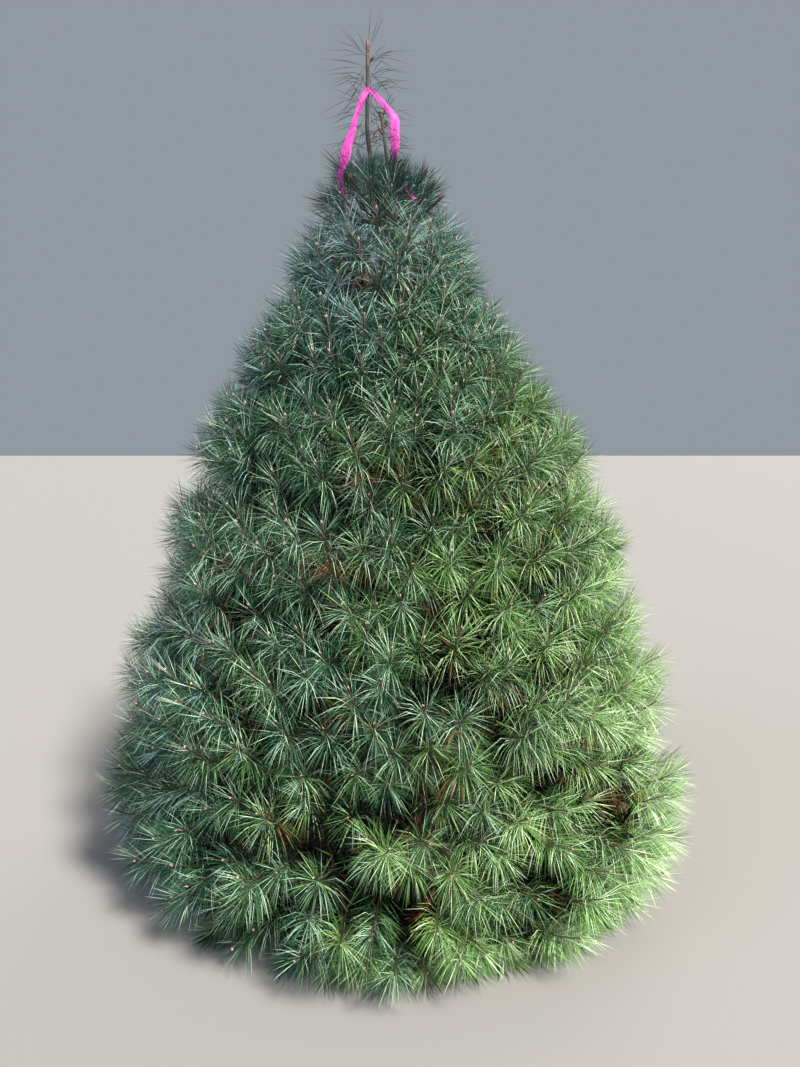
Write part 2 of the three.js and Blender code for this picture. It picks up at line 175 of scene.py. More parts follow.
def newMaterial(name, base, roughness, **inputs):
    made = bpy.data.materials.new(name)
    made.use_nodes = True
    shader = made.node_tree.nodes["Principled BSDF"]
    shader.inputs["Base Color"].default_value = colour(base)
    shader.inputs["Roughness"].default_value = roughness
    for socket, value in inputs.items():
        shader.inputs[socket.replace("_", " ")].default_value = value
    made.diffuse_color = colour(base)
    return made


# two tones that follow one pattern, and relief that follows another
def addPattern(made, tones, height, look):
    tree = made.node_tree
    shader = tree.nodes["Principled BSDF"]
    ramp = addNode(tree, "ShaderNodeValToRGB", {"Fac": tones})
    for element, tone in zip(ramp.color_ramp.elements, ("dark", "pale")):
        element.position, element.color = look[tone + "At"], colour(look[tone])
    tree.links.new(ramp.outputs["Color"], shader.inputs["Base Color"])
    bump = addNode(tree, "ShaderNodeBump",
                   {"Height": height, "Strength": look["bump"], "Distance": look["depth"]})
    tree.links.new(bump.outputs["Normal"], shader.inputs["Normal"])


def addObject(name, data):
    made = bpy.data.objects.new(name, data)
    bpy.context.scene.collection.objects.link(made)
    return made


# one object from corners and faces, riding on the root body; it may stand for nodes of the solids,
# which it hides
def addPiece(name, points, faces, material, nodes=(), slot=None, smooth=True):
    points, faces = points.reshape(-1, 3), np.asarray(faces)
    mesh = bpy.data.meshes.new(name)
    mesh.vertices.add(len(points))
    mesh.vertices.foreach_set("co", points.astype(np.float32).ravel())
    mesh.loops.add(faces.size)
    mesh.loops.foreach_set("vertex_index", faces.astype(np.int32).ravel())
    mesh.polygons.add(len(faces))
    mesh.polygons.foreach_set("loop_start", np.arange(len(faces), dtype=np.int32) * faces.shape[1])
    mesh.polygons.foreach_set("use_smooth", np.full(len(faces), smooth))
    mesh.update(calc_edges=True)
    mesh.materials.append(material)
    piece = addObject(name, mesh)
    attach(piece, "root")
    if nodes:
        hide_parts(*nodes)


# quads that join each ring of n points to the next one, and the last to the first if they close
def ringQuads(rings, n, closed=False):
    k, i = np.meshgrid(np.arange(rings if closed else rings - 1), np.arange(n), indexing="ij")
    nextK, j = (k + 1) % rings, (i + 1) % n
    return np.stack([k * n + i, k * n + j, nextK * n + j, nextK * n + i], -1).reshape(-1, 4)


# triangles of one closed tube: each quad in two, and a fan at each end about two last points
def tubeFaces(rings, sides):
    quads = ringQuads(rings, sides)
    n = np.arange(sides)
    m = (n + 1) % sides
    foot = np.stack([np.full(sides, rings * sides), m, n], -1)
    top = (rings - 1) * sides
    head = np.stack([np.full(sides, rings * sides + 1), top + n, top + m], -1)
    return np.concatenate([quads[:, :3], quads[:, [0, 2, 3]], foot, head])


# the same faces for many like shapes whose corners follow each other
def repeated(faces, corners, count):
    return (faces[None] + (np.arange(count) * corners)[:, None, None]).reshape(-1, faces.shape[1])


# tubes along paths, a path a row: rings of the given radii square to the path, moved in or out by
# relief; radii are given for each path, or once for all
def limbArrays(centres, radii, sides, relief=0.0):
    count, rings = centres.shape[:2]
    along = unit(np.gradient(centres, axis=1))
    above = squareTo(unit(centres[:, -1:] - centres[:, :1]))[1]
    u = unit(np.cross(above, along))[:, :, None]
    v = np.cross(along, u[:, :, 0])[:, :, None]
    angle = (np.arange(sides) / sides * 2 * math.pi)[:, None]
    reach = (np.broadcast_to(radii, (count, rings))[:, :, None] + relief)[..., None]
    body = centres[:, :, None] + reach * turned(angle, u, v)
    points = np.concatenate([body.reshape(count, -1, 3), centres[:, :1], centres[:, -1:]], 1)
    return points, repeated(tubeFaces(rings, sides), rings * sides + 2, count)


# bumps for a tube: noise of so many cells about it, and a step of the noise for each ring along it
def tubeNoise(sides, rings, step, cells, seed):
    return gridNoise(*np.meshgrid(np.arange(sides) / sides, np.arange(rings) * step), cells, seed)


print("materials")
# What all bark shares: patches drawn out along the stem, the noise at which they turn dark and
# pale, and grain that stands out by a millimetre at most.
barkPattern = dict(upright=0.35, patchDetail=5.0, grainDetail=2.0, darkAt=0.38, paleAt=0.62,
                   bump=0.4, depth=0.001)


def barkMaterial(name, **look):
    look = barkPattern | look
    made = newMaterial(name, look["pale"], look["roughness"])
    tree = made.node_tree
    place = addNode(tree, "ShaderNodeTexCoord").outputs["Object"]
    stretch = addNode(tree, "ShaderNodeMapping", {"Vector": place, "Scale": (1, 1, look["upright"])})
    along = stretch.outputs["Vector"]
    patches, grain = (
        addNode(tree, "ShaderNodeTexNoise",
                {"Vector": along, "Scale": 1 / look[part], "Detail": look[part + "Detail"]})
        for part in ("patch", "grain")
    )
    addPattern(made, patches.outputs["Fac"], grain.outputs["Fac"], look)
    return made


# Young white pine bark: thin and grey-brown, nearly smooth, with darker shallow cracks; dull,
# with a faint waxy gleam.
trunkBark = barkMaterial("youngPineBark", pale="#4b4541", dark="#292421",
                         roughness=0.82, patch=0.024, grain=0.004)
# Bark of young limbs: redder and smoother.
limbBark = barkMaterial("youngLimbBark", pale="#80553f", dark="#4b2c22",
                        roughness=0.72, patch=0.030, grain=0.0025)
# This year's twigs: smooth red-brown skin with a soft gleam, darker where it has aged.
twigSkin = barkMaterial("redBrownTwigSkin", pale="#462a20", dark="#2f1812",
                        roughness=0.5, patch=0.020, grain=0.002)
# Bare shoots of the top tuft: darker than the twigs, with less gleam.
topShootSkin = barkMaterial("darkShootSkin", pale="#3b1f1d", dark="#261313",
                            roughness=0.55, patch=0.012, grain=0.002)
# Buds sealed with pale resin, a little pink, over brown scales a millimetre or two long.
budScales = barkMaterial("resinBudScales", pale="#dabdae", dark="#a98473",
                         roughness=0.45, patch=0.003, grain=0.0012)
# The leader's tip: young bark, still pink-brown.
tipBark = barkMaterial("pinkBrownTipBark", pale="#74564c", dark="#45312b",
                       roughness=0.6, patch=0.006, grain=0.0015)
# White pine needles: a waxy skin that keeps a thin highlight, with fine white lines of pores on the
# inner sides, so some look silvery. The shades are dealt out by spray and by needle. The palest,
# silver, frost, light and pale, are partly those lines of pores and fresh growth and partly painted
# highlight; the two near-black ones, deep and the one for old needles, are painted shade among the
# needles, the latter also the dark of needles of other years.
needleShades = dict(
    deep="#0d2116", blue="#38674c", silver="#aed1b2", teal="#2d5955", frost="#9fc4c3",
    green="#4b733d", light="#a9cd90", fresh="#7caa59", pale="#cde8b8",
    old="#070c08", olive="#67642a", rust="#8c5430", brown="#46301f",
)
# Needles of other years have lost the gloss of their wax.
dullShades = ("old", "olive", "rust", "brown")
freshWax = dict(roughness=0.36, Specular_IOR_Level=0.36)
wornWax = dict(roughness=0.60, Specular_IOR_Level=0.12)
needleSkin = {
    shade: newMaterial(shade + "NeedleWax", text, **(wornWax if shade in dullShades else freshWax))
    for shade, text in needleShades.items()
}
# Vinyl marking tape: thin, limp film in a fluorescent dye, with a fine embossed mesh whose grooves are
# painted slightly darker as crossing lines, painted shade in the grooves; the mesh is drawn coarser than it
# is.
tapeLook = dict(pale="#c746a6", dark="#a62d86", roughness=0.55, gloss=0.3, mesh=0.0035,
                darkAt=0.0, paleAt=0.16, bump=0.3, depth=0.0003)


def tapeMaterial(look):
    made = newMaterial("fluorescentVinylFilm", look["pale"], look["roughness"],
                       Specular_IOR_Level=look["gloss"])
    tree = made.node_tree
    place = addNode(tree, "ShaderNodeTexCoord").outputs["Object"]
    cells = addNode(tree, "ShaderNodeTexVoronoi", {"Vector": place, "Scale": 1 / look["mesh"]},
                    feature="DISTANCE_TO_EDGE").outputs["Distance"]
    addPattern(made, cells, cells, look)
    return made


tapeFilm = tapeMaterial(tapeLook)

print("trunk")
trunkShape = dict(around=26, rings=340, footRings=60, footHeight=0.2, smooth=0.012, cap=0.0012)
# the bark's relief, less on the thin leader: ripples of two sizes (rows a metre, cells about the
# trunk, share), a scar at each whorl, and flutes at the foot
trunkRelief = dict(fullAt=0.03, least=0.45, ripple=0.0011, coarse=(34, 16, 0.6), fine=(90, 28, 0.4),
                   scar=0.0026, scarHeight=0.014, scarCells=8, flute=0.003, flutes=5, fluteHeight=0.06)


# level rings about the trunk's smoothed line; the radius is the table's plus shallow upright ridges,
# a swelling at each whorl and soft flutes at the foot
def makeTrunk():
    shape, bark = trunkShape, trunkRelief
    foot = np.linspace(0, shape["footHeight"], shape["footRings"], endpoint=False)
    rest = np.linspace(shape["footHeight"], trunkStations[-1, 0], shape["rings"] - shape["footRings"])
    z = np.concatenate([foot, rest])
    steps = (-shape["smooth"], 0, shape["smooth"])
    x, y = (sum(np.interp(z + s, trunkStations[:, 0], trunkStations[:, k]) for s in steps) / len(steps)
            for k in (1, 2))
    radius = np.interp(z, trunkStations[:, 0], trunkStations[:, 3])
    u, h = np.meshgrid(np.arange(shape["around"]) / shape["around"], z)
    fade = np.clip(radius / bark["fullAt"], bark["least"], 1)[:, None]
    coarse, fine = (
        gridNoise(u, h * rows, cells, noise) * share
        for noise, (rows, cells, share) in ((5, bark["coarse"]), (6, bark["fine"]))
    )
    swell = bark["ripple"] * fade * (coarse + fine)
    uneven = 1 + 0.5 * gridNoise(u, 0 * h, bark["scarCells"], 7)
    for whorl in whorls:
        collar = np.exp(-(((h - whorl["at"]) / bark["scarHeight"]) ** 2)) * uneven
        swell += bark["scar"] * fade * collar
    turn = u * 2 * math.pi
    swell += bark["flute"] * np.cos(turn * bark["flutes"] + 1) * np.exp(-h / bark["fluteHeight"])
    r = radius[:, None] + swell
    rings = np.stack([x[:, None] + r * np.cos(turn), y[:, None] + r * np.sin(turn), h], -1)
    ends = np.array([[x[0], y[0], 0.0], [x[-1], y[-1], z[-1] + shape["cap"]]])
    points = np.concatenate([rings.reshape(-1, 3), ends])
    addPiece("trunk_bark", points, tubeFaces(len(z), shape["around"]), trunkBark, ["trunk"], "trunk_bark")


makeTrunk()


# a point on the trunk's line
def trunkAt(z):
    return np.array([np.interp(z, trunkStations[:, 0], trunkStations[:, k]) for k in (1, 2)] + [z])


print("limbs")
# a bough rises by some degrees and a share of the whorl's tilt; it is as thick as this at the lowest
# and the highest whorl, and tapers at shares of its length; side limbs run to parts of its mass
limbShape = dict(rings=40, sides=12, ripple=0.0005, crownAbove=0.2, rise=(8, 0.55), bow=0.12,
                 bareSteps=(0, 0.55, 1), farthest=0.70, tipShare=0.62, arch=0.015, thick=(0.015, 0.008),
                 taperAt=(0, 0.25, 0.5, 1), taper=(1.3, 1, 0.7, 0.32))
sideLimbShape = dict(rings=9, sides=7, across=3, rows=2, reach=0.68, leave=(26, 16), sag=0.02,
                     tip=0.0032)


# the floor of a whorl's cells at a distance from the middle line: a straight rising line
def cellFloor(whorl, r):
    return mix(whorl["foot"], whorl["rim"], r / crownRadius(whorl["rim"]))


# shares of the crown's radius by which the needle tips reach past it, or stay inside at the waist;
# belly, waist and shoulder have a size, the height of the middle and half the height they take up
reachShape = dict(low=0.028, atSides=0.03, lowTop=1.55, lowFade=0.25,
                  belly=(0.055, 0.95, 0.45), waist=(0.10, 0.83, 0.12), shoulder=(0.080, 1.74, 0.22))


# 1 at the middle height, less by its distance, and 0 from half the height away
def tent(z, middle, half):
    return np.clip(1 - np.abs(z - middle) / half, 0, 1)


# the reach of the needle tips: a little past the solids' crown low down, most at the two sides,
# with a fuller belly half-way up on the right, drawn in below it, and one near the top on the left
def needleReach(azimuth, z):
    shape = reachShape
    side = np.sin(azimuth)
    lowDown = np.clip((shape["lowTop"] - z) / shape["lowFade"], 0, 1)
    past = (shape["low"] + shape["atSides"] * np.abs(side)) * lowDown
    (belly, *bellyPlace), (waist, *waistPlace) = shape["belly"], shape["waist"]
    right = (belly * tent(z, *bellyPlace) - waist * tent(z, *waistPlace)) * np.maximum(side, 0)
    shoulder, *shoulderPlace = shape["shoulder"]
    left = shoulder * np.maximum(-side, 0) * tent(z, *shoulderPlace)
    return crownRadius(z) * (1 + past + right + left)


edgeShape = dict(notch=0.080, leftNotch=0.04, leftTop=1.2, neck=0.11, neckFrom=1.95, gap=0.04)


# the crown's edge, drawn in where two whorls meet, most on the left and under the top tuft, and
# where two masses meet
def edgeAt(azimuth, z, u, v, fullness):
    shape = edgeShape
    notch = shape["notch"] + shape["leftNotch"] * np.maximum(0, -np.sin(azimuth)) * (z < shape["leftTop"])
    notch = notch + shape["neck"] * (z > shape["neckFrom"])
    drawnIn = 1 - notch * (2 * v - 1) ** 4 - shape["gap"] * (2 * u - 1) ** 4
    return needleReach(azimuth, z) * fullness * drawnIn


placeJitter = dict(across=0.7, upward=0.85)


# rows of places over a mass, every other row shifted by half a step and each place jittered
def placesIn(rows, across, offset, seed):
    row, col = (part.ravel() for part in np.meshgrid(np.arange(rows), np.arange(across), indexing="ij"))
    n = np.arange(len(row))
    u = (col + 0.25 + 0.5 * (row % 2) + placeJitter["across"] * (chance(seed, n, 5) - 0.5)) / across
    v = (row + 0.5 + offset + placeJitter["upward"] * (chance(seed, n, 6) - 0.5)) / rows
    return u, v, n


# metres: how far tips are set in from the crown's edge, the leafy length, the lowest tip; degrees:
# rise, its change over a mass, its jitter and its most; shares of the radius: the crown's fullness,
# how ragged it is, how much slimmer from a height
shootShape = dict(inset=0.044, shadeInset=0.165, leafy=0.26, lowest=0.045, bend=1.7, lift=30,
                  fan=(-14, 12), jitter=22, most=76, swing=0.5, fullness=(0.975, 1.020), ragged=0.08,
                  slim=0.1, slimFrom=1.7)
hollowShape = dict(around=15, height=0.21, depth=0.12, top=1.85, seed=27)
boughPaths, boughRadii, sidePaths, sideRadii = [], [], [], []
shootRows, shadeRows = [], []


# soft hollows in the crown's face, from noise in azimuth and height, shallow at its two sides
def hollowAt(azimuth, z):
    shape = hollowShape
    turn = np.mod(azimuth / (2 * math.pi), 1)
    noise = gridNoise(turn, z / shape["height"], shape["around"], shape["seed"])
    atFace = 1 - np.abs(np.sin(azimuth)) ** 3
    return shape["depth"] * np.clip(noise, 0, 1) * atFace * (z < shape["top"])


# shoots over a mass's face, with their tips set in from the crown's edge
def massShoots(whorl, roof, left, width, across, inset, offset, seed):
    shape = shootShape
    u, v, n = placesIn(whorl["rows"], across, offset, seed)
    azimuth = left + width * u
    rim = crownRadius(whorl["rim"])
    r = crownRadius(mix(whorl["rim"], cellFloor(roof, rim), v))
    z = mix(cellFloor(whorl, r), cellFloor(roof, r), v)
    rise = whorl["tilt"] + mix(*shape["fan"], v) + shape["lift"]
    rise = rise + shape["jitter"] * (chance(seed, n, 8) - 0.5)
    way = azimuth + shape["swing"] * (chance(seed, n, 7) - 0.5)
    axis = heading(way, np.minimum(rise, shape["most"]) * degree)
    fullness = mix(*shape["fullness"], chance(seed, 0, 4)) - shape["ragged"] * chance(seed, n, 9) ** 2
    fullness = fullness - shape["slim"] * (whorl["at"] > shape["slimFrom"]) - hollowAt(azimuth, z)
    tips = crownPoint(azimuth, edgeAt(azimuth, z, u, v, fullness) - inset, z)
    tips[:, 2] = np.maximum(tips[:, 2], shape["lowest"])
    return tips, axis, n


# one bough and all that grows on it: it runs on from the bare part into the mass, a few side
# limbs leave it for the middles of the mass's parts, and each shoot leaves the nearest of these
def growMass(level, index, seed):
    shape, side = limbShape, sideLimbShape
    whorl = whorls[level]
    roof = whorls[level + 1] if level + 1 < topLevel else topFloor
    width = 2 * math.pi / whorl["boughs"]
    left = whorl["turn"] * degree + index * width
    middle = left + width / 2
    start, out = trunkAt(whorl["at"]), heading(middle, 0)
    reach = whorl["span"] * crownRadius(whorl["at"] + shape["crownAbove"])
    least, share = shape["rise"]
    slope = math.tan((whorl["tilt"] * share + least) * degree)
    bare = [start + out * reach * t + up * reach * t * (slope + shape["bow"] * t)
            for t in shape["bareSteps"]]
    far = shape["farthest"] * crownRadius(whorl["rim"])
    tip = crownPoint(middle, far, mix(cellFloor(whorl, far), cellFloor(roof, far), shape["tipShare"]))
    arch = mix(bare[-1], tip, 0.5) + shape["arch"] * up
    bough = curvesThrough([[*bare, arch, tip]], shape["rings"])[0]
    thick = mix(*shape["thick"], whorl["at"] / whorls[-1]["at"])
    boughPaths.append(bough)
    t = np.linspace(0, 1, shape["rings"])
    boughRadii.append(np.interp(t, shape["taperAt"], thick * np.array(shape["taper"])))

    across, rows = side["across"], side["rows"]
    middles = np.meshgrid((np.arange(across) + 0.5) / across, (np.arange(rows) + 0.5) / rows)
    u, v = (part.ravel() for part in middles)
    rim = crownRadius(whorl["rim"])
    r = crownRadius(mix(cellFloor(whorl, rim), cellFloor(roof, rim), v)) * side["reach"]
    parts = crownPoint(left + width * u, r, mix(cellFloor(whorl, r), cellFloor(roof, r), v))
    leave = bough[np.interp(np.abs(u - 0.5) + 0.3 * v, [0, 0.8], side["leave"]).astype(int)]
    bowed = np.stack([leave, mix(leave, parts, 0.5) - side["sag"] * up, parts], 1)
    sidePaths.append(curvesThrough(bowed, side["rings"]))
    sideRadii.append(np.linspace(thick * 0.5, side["tip"], side["rings"])[None].repeat(len(parts), 0))

    for rowsOut, across, inset, offset, first in (
        (shootRows, whorl["across"], shootShape["inset"], 0.0, 0),
        (shadeRows, round(whorl["across"] * 0.9), shootShape["shadeInset"], 0.5, 50),
    ):
        tips, axis, n = massShoots(whorl, roof, left, width, across, inset, offset, seed + first)
        nearest = np.argmin(np.linalg.norm(tips[:, None] - parts[None], axis=-1), 1)
        rowsOut.append((tips, axis, parts[nearest], (seed + first) * 100 + n, np.full(len(n), level)))


seed = 0
for level, whorl in enumerate(whorls):
    for index in range(whorl["boughs"]):
        seed += 1
        growMass(level, index, seed)

# rings of upright shoots round the leader's foot, which all leave the trunk at one height
topRoot = 2.045
topRings = [
    dict(count=7, r=0.060, height=2.190, rise=80),
    dict(count=10, r=0.115, height=2.172, rise=62),
    dict(count=11, r=0.160, height=2.128, rise=46),
]
topJitter = dict(turn=0.6, r=(0.85, 1.15), height=0.07, rise=16)


def growTop():
    for ring in topRings:
        count = ring["count"]
        n = np.arange(count)
        azimuth = (n + topJitter["turn"] * chance(31, n, count)) / count * 2 * math.pi
        r = ring["r"] * mix(*topJitter["r"], chance(33, n, count))
        height = ring["height"] + topJitter["height"] * (chance(34, n, count) - 0.5)
        tips = crownPoint(azimuth, r, height)
        rise = ring["rise"] + topJitter["rise"] * (chance(32, n, count) - 0.5)
        axis = heading(azimuth, rise * degree)
        roots = np.tile(trunkAt(topRoot), (count, 1))
        shootRows.append((tips, axis, roots, 9000 + 40 * count + n, np.full(count, topLevel)))


growTop()
tips, axes, roots, seeds, levels = (np.concatenate(part) for part in zip(*shootRows))
atTop = levels == topLevel
# shoots are half as long in the top tuft, and three quarters in the whorl under it
scale = np.where(atTop, 0.5, np.where(levels == topLevel - 1, 0.75, 1.0))
scale = scale * mix(0.84, 1.14, chance(seeds, 0, 12))
print(len(tips), "shoots")


# points at distances back from each shoot's tip: straight back along its axis, and higher by the
# square of the distance, because a shoot turns up towards its tip
def pointsBack(tips, axes, back, bend):
    return tips[:, None] - axes[:, None] * back[..., None] + up * bend * back[..., None] ** 2


# the shoot's own direction at those points
def waysBack(axes, back, bend):
    return unit(axes[:, None] - up * 2 * bend * back[..., None])


relief = limbShape["ripple"] * tubeNoise(limbShape["sides"], limbShape["rings"], 0.7, 6, 9)
boughs = [name for name in nodeNames if name.startswith("bough_")]
masses = [name for name in nodeNames if name.startswith(("foliage_", "top_tuft_"))]
limbs = limbArrays(np.array(boughPaths), np.array(boughRadii), limbShape["sides"], relief)
addPiece("bough_bark", *limbs, limbBark, boughs, "limb_bark")
limbs = limbArrays(np.concatenate(sidePaths), np.concatenate(sideRadii), sideLimbShape["sides"])
addPiece("side_limbs", *limbs, limbBark, masses, "limb_bark")

print("twigs")
# radii along each kind of twig; the upper whorls' twigs are stouter
twigShape = dict(sides=4, stout=1.1, slim=0.78, stoutFrom=4,
                 taper=(0.0036, 0.0035, 0.0033, 0.0030, 0.0026, 0.0024),
                 side=(0.0024, 0.0022, 0.0018), shade=(0.0028, 0.0026, 0.0018))
bend = shootShape["bend"]
leafy = shootShape["leafy"] * scale
steps = pointsBack(tips, axes, leafy[:, None] * np.array([1, 0.66, 0.33, 0]), bend)
twigPaths = np.concatenate([roots[:, None], mix(roots, steps[:, 0], 0.5)[:, None], steps], 1)
stoutness = np.where(levels >= twigShape["stoutFrom"], twigShape["stout"], twigShape["slim"])
twigRadii = stoutness[:, None] * np.array(twigShape["taper"])
addPiece("twigs", *limbArrays(twigPaths, twigRadii, twigShape["sides"]), twigSkin, masses, "limb_bark")

# a side shoot leaves each shoot at last year's node and ends among this year's needles
sideTwig = dict(back=0.135, jitter=0.03, lean=0.9, lift=0.2, length=0.075, lowest=0.03)
sideBack = (sideTwig["back"] + sideTwig["jitter"] * chance(seeds, 0, 13)) * scale
sideBases = pointsBack(tips, axes, sideBack[:, None], bend)[:, 0]
outward = turned(chance(seeds, 0, 14)[:, None] * 2 * math.pi, *squareTo(axes))
sideAxes = unit(axes + sideTwig["lean"] * outward + sideTwig["lift"] * up)
sideTips = sideBases + sideAxes * (sideTwig["length"] * scale)[:, None]
sideTips[:, 2] = np.maximum(sideTips[:, 2], sideTwig["lowest"])
sideTwigPaths = np.stack([sideBases, mix(sideBases, sideTips, 0.5), sideTips], 1)
sideTwigs = limbArrays(sideTwigPaths, twigShape["side"], twigShape["sides"])
addPiece("side_twigs", *sideTwigs, twigSkin, masses, "limb_bark")

# a shaded layer of shoots grows behind the first
shadeTips, shadeAxes, shadeRoots, shadeSeeds, _ = (np.concatenate(part) for part in zip(*shadeRows))
shadePaths = np.stack([shadeRoots, mix(shadeRoots, shadeTips - 0.1 * shadeAxes, 0.7), shadeTips], 1)
shadeTwigs = limbArrays(shadePaths, twigShape["shade"], twigShape["sides"])
addPiece("shade_twigs", *shadeTwigs, twigSkin, masses, "limb_bark")

print("needles")
# a bundle opens by its spread and turns away from the trunk by outward; needles end above lowest and
# within slack of the crown's edge, freely from a height up; parts are shares of a needle's length
needleShape = dict(length=0.100, lengths=(0.84, 1.08), droops=(0.6, 1.4), bundle=3, spread=0.42,
                   twist=0.3, sway=12, outward=0.20, lowest=0.006, uneven=0.012, slack=0.004,
                   freeFrom=1.9, curveParts=(0.48, 0.52), firstDroop=0.3, straightMiddle=0.45,
                   straightDroop=0.6)
topNeedles = dict(lean=0.62, droop=0.35)  # the top tuft's needles stand closer and hang less
# this year's needles stand round the last part of a shoot, the foremost nearly straight and the
# rest curved; last year's hang behind them, and side shoots and shaded shoots fill the crown's inside;
# a shaded shoot's blade stands for a bundle of five; widths are about half of what shows
zoneColumns = ("bundles", "nearest", "span", "lean", "droop", "length", "width")
tipZone, currentZone, olderZone, sideZone, shadeZone = (dict(zip(zoneColumns, row)) for row in (
    (16, 0.022, 0.042, (32, 56), (0.15, 0.6), 0.98, 0.00072),
    (26, 0.060, 0.068, (52, 86), (0.55, 1.3), 1.04, 0.00072),
    (13, 0.120, 0.16, (56, 84), (0.5, 1.1), 1.0, 0.0011),
    (10, 0.004, 0.075, (30, 78), (0.2, 0.8), 0.85, 0.0013),
    (20, 0.002, 0.28, (40, 80), (0.1, 0.9), 1.0, 0.0043),
))


# a curved needle is a slim closed spindle: its root, three points round its bend, and its tip;
# past the bend it turns down by the droop, the more the leveller it stands
def curvedNeedles(root, way, droop, length, width):
    level = np.sqrt(np.clip(1 - way[..., 2] ** 2, 0, 1))
    sag = (droop * level)[..., None]
    length = length[..., None]
    first, second = needleShape["curveParts"]
    bend = root + first * length * unit(way - needleShape["firstDroop"] * sag * up)
    tip = bend + second * length * unit(way - sag * up)
    aside, above = squareTo(unit(tip - root))
    turn = (np.arange(3) / 3 * 2 * math.pi)[:, None]
    ring = bend[..., None, :] + width * turned(turn, aside[..., None, :], above[..., None, :])
    return np.concatenate([root[..., None, :], ring, tip[..., None, :]], -2)


curvedFaces = np.array([(0, 2, 1), (0, 3, 2), (0, 1, 3), (4, 1, 2), (4, 2, 3), (4, 3, 1)])


# a straight needle is a closed sliver of four triangles: root, tip and the two sides of its middle,
# which stands a little above the line from root to tip
def straightNeedles(root, way, droop, length, width):
    level = np.sqrt(np.clip(1 - way[..., 2] ** 2, 0, 1))
    way = unit(way - (needleShape["straightDroop"] * droop * level)[..., None] * up)
    aside, above = squareTo(way)
    tip = root + length[..., None] * way
    middle = mix(root, tip, needleShape["straightMiddle"]) + width * above
    return np.stack([root, middle - width * aside, middle + width * aside, tip], -2)


straightFaces = np.array([(0, 2, 1), (3, 1, 2), (0, 1, 3), (0, 3, 2)])


# needles of one zone, from bundles that turn by the golden angle down the shoot and lean out of it;
# one that would reach past the crown is shorter by as much
def zoneNeedles(zone, tips, axes, seeds, atTop, scale, bend, use, makeNeedles):
    shape = needleShape
    k = np.arange(zone["bundles"] * shape["bundle"])[None]
    bundle, member = k // shape["bundle"], k % shape["bundle"]
    s = seeds[:, None]
    share = np.clip((bundle + 0.5 + 0.8 * (chance(s, bundle, use) - 0.5)) / zone["bundles"], 0, 1)
    back = (zone["nearest"] + zone["span"] * share) * scale[:, None]
    root = pointsBack(tips, axes, back, bend)
    along = waysBack(axes, back, bend)
    turn = bundle * goldenTurn + chance(s, 0, use + 1) * wholeTurn + (member - 1) * shape["spread"]
    turn = turn + shape["twist"] * (chance(s, k, use + 2) - 0.5)
    lean = mix(*zone["lean"], share) + shape["sway"] * (chance(s, bundle, use + 3) - 0.5)
    lean = lean + shape["sway"] * (chance(s, k, use + 7) - 0.5)
    lean = lean * degree * np.where(atTop, topNeedles["lean"], 1.0)[:, None]
    way = turned(lean[..., None], along, turned(turn[..., None], *squareTo(along)))
    east, north = fromMiddle(tips)
    away = heading(np.arctan2(east, -north), 0)
    way = unit(way + shape["outward"] * (away * ~atTop[:, None])[:, None])
    droop = mix(*zone["droop"], share) * mix(*shape["droops"], chance(s, bundle, use + 4))
    droop = droop * np.where(atTop, topNeedles["droop"], 1.0)[:, None] * np.ones(k.shape)
    length = shape["length"] * zone["length"] * mix(*shape["lengths"], chance(s, bundle, use + 5))
    length = length * np.ones(k.shape)
    made = makeNeedles(root, way, droop, length, zone["width"])
    end = made[..., -1, :]
    east, north = fromMiddle(end)
    past = np.hypot(east, north) - needleReach(np.arctan2(east, -north), end[..., 2]) - shape["slack"]
    held = 1 - np.maximum(past, 0) / length
    shorter = np.where(end[..., 2] < shape["freeFrom"], held, 1)[..., None, None]
    made = made[..., :1, :] + (made - made[..., :1, :]) * shorter
    lowest = shape["lowest"] + shape["uneven"] * chance(s, k, use + 6)
    made[..., 2] = np.maximum(made[..., 2], lowest[..., None])
    return made


sprays = (tips, axes, seeds, atTop, scale)
current = zoneNeedles(currentZone, *sprays, bend, 50, curvedNeedles)
foremost = zoneNeedles(tipZone, *sprays, bend, 30, straightNeedles)
older = zoneNeedles(olderZone, *sprays, bend, 60, straightNeedles)
inner = zoneNeedles(sideZone, sideTips, sideAxes, seeds, atTop, scale, 0.0, 70, straightNeedles)
shaded = (shadeTips, shadeAxes, shadeSeeds, np.zeros(len(shadeTips), bool), np.ones(len(shadeTips)))
shade = zoneNeedles(shadeZone, *shaded, 0.0, 80, straightNeedles)

# yellower to the right and low down, bluer to the left and at the top, with some chance by spray:
# partly the needles' own colours, partly painted light, warm on the lit right side, and painted shade
# and painted sky reflection, cool on the left and at the top
toRight = np.sin(np.arctan2(tips[:, 0] + leanWest * tips[:, 2], -tips[:, 1]))
yellow = 0.36 + 0.30 * toRight * np.clip(1.6 - tips[:, 2] / 1.6, 0.15, 1) - 0.10 * (tips[:, 2] - 0.9)
yellow = yellow + 0.34 * (chance(seeds, 1, 40) - 0.5) - 0.40 * np.clip((tips[:, 2] - 1.45) / 0.6, 0, 1)
# and painted light: lighter on the lit right side and, a little, above half-way; painted shade: darker
# to the left and in the top tuft
paintedLight = 0.08 * np.maximum(toRight, 0) - 0.04 * np.maximum(-toRight, 0)
paintedLight = paintedLight + 0.02 * np.clip((tips[:, 2] - 1.3) / 0.5, 0, 1) - 0.20 * atTop

# rows by yellowness and columns by lightness, and the numbers at which the next one starts
shadeTable = np.array([("deep", "teal", "frost"), ("deep", "blue", "silver"), ("deep", "green", "silver"),
                       ("deep", "green", "light"), ("green", "fresh", "pale")])
rowStarts = (0.0, 0.28, 0.42, 0.58)
columnStarts = (0.40, 0.68)
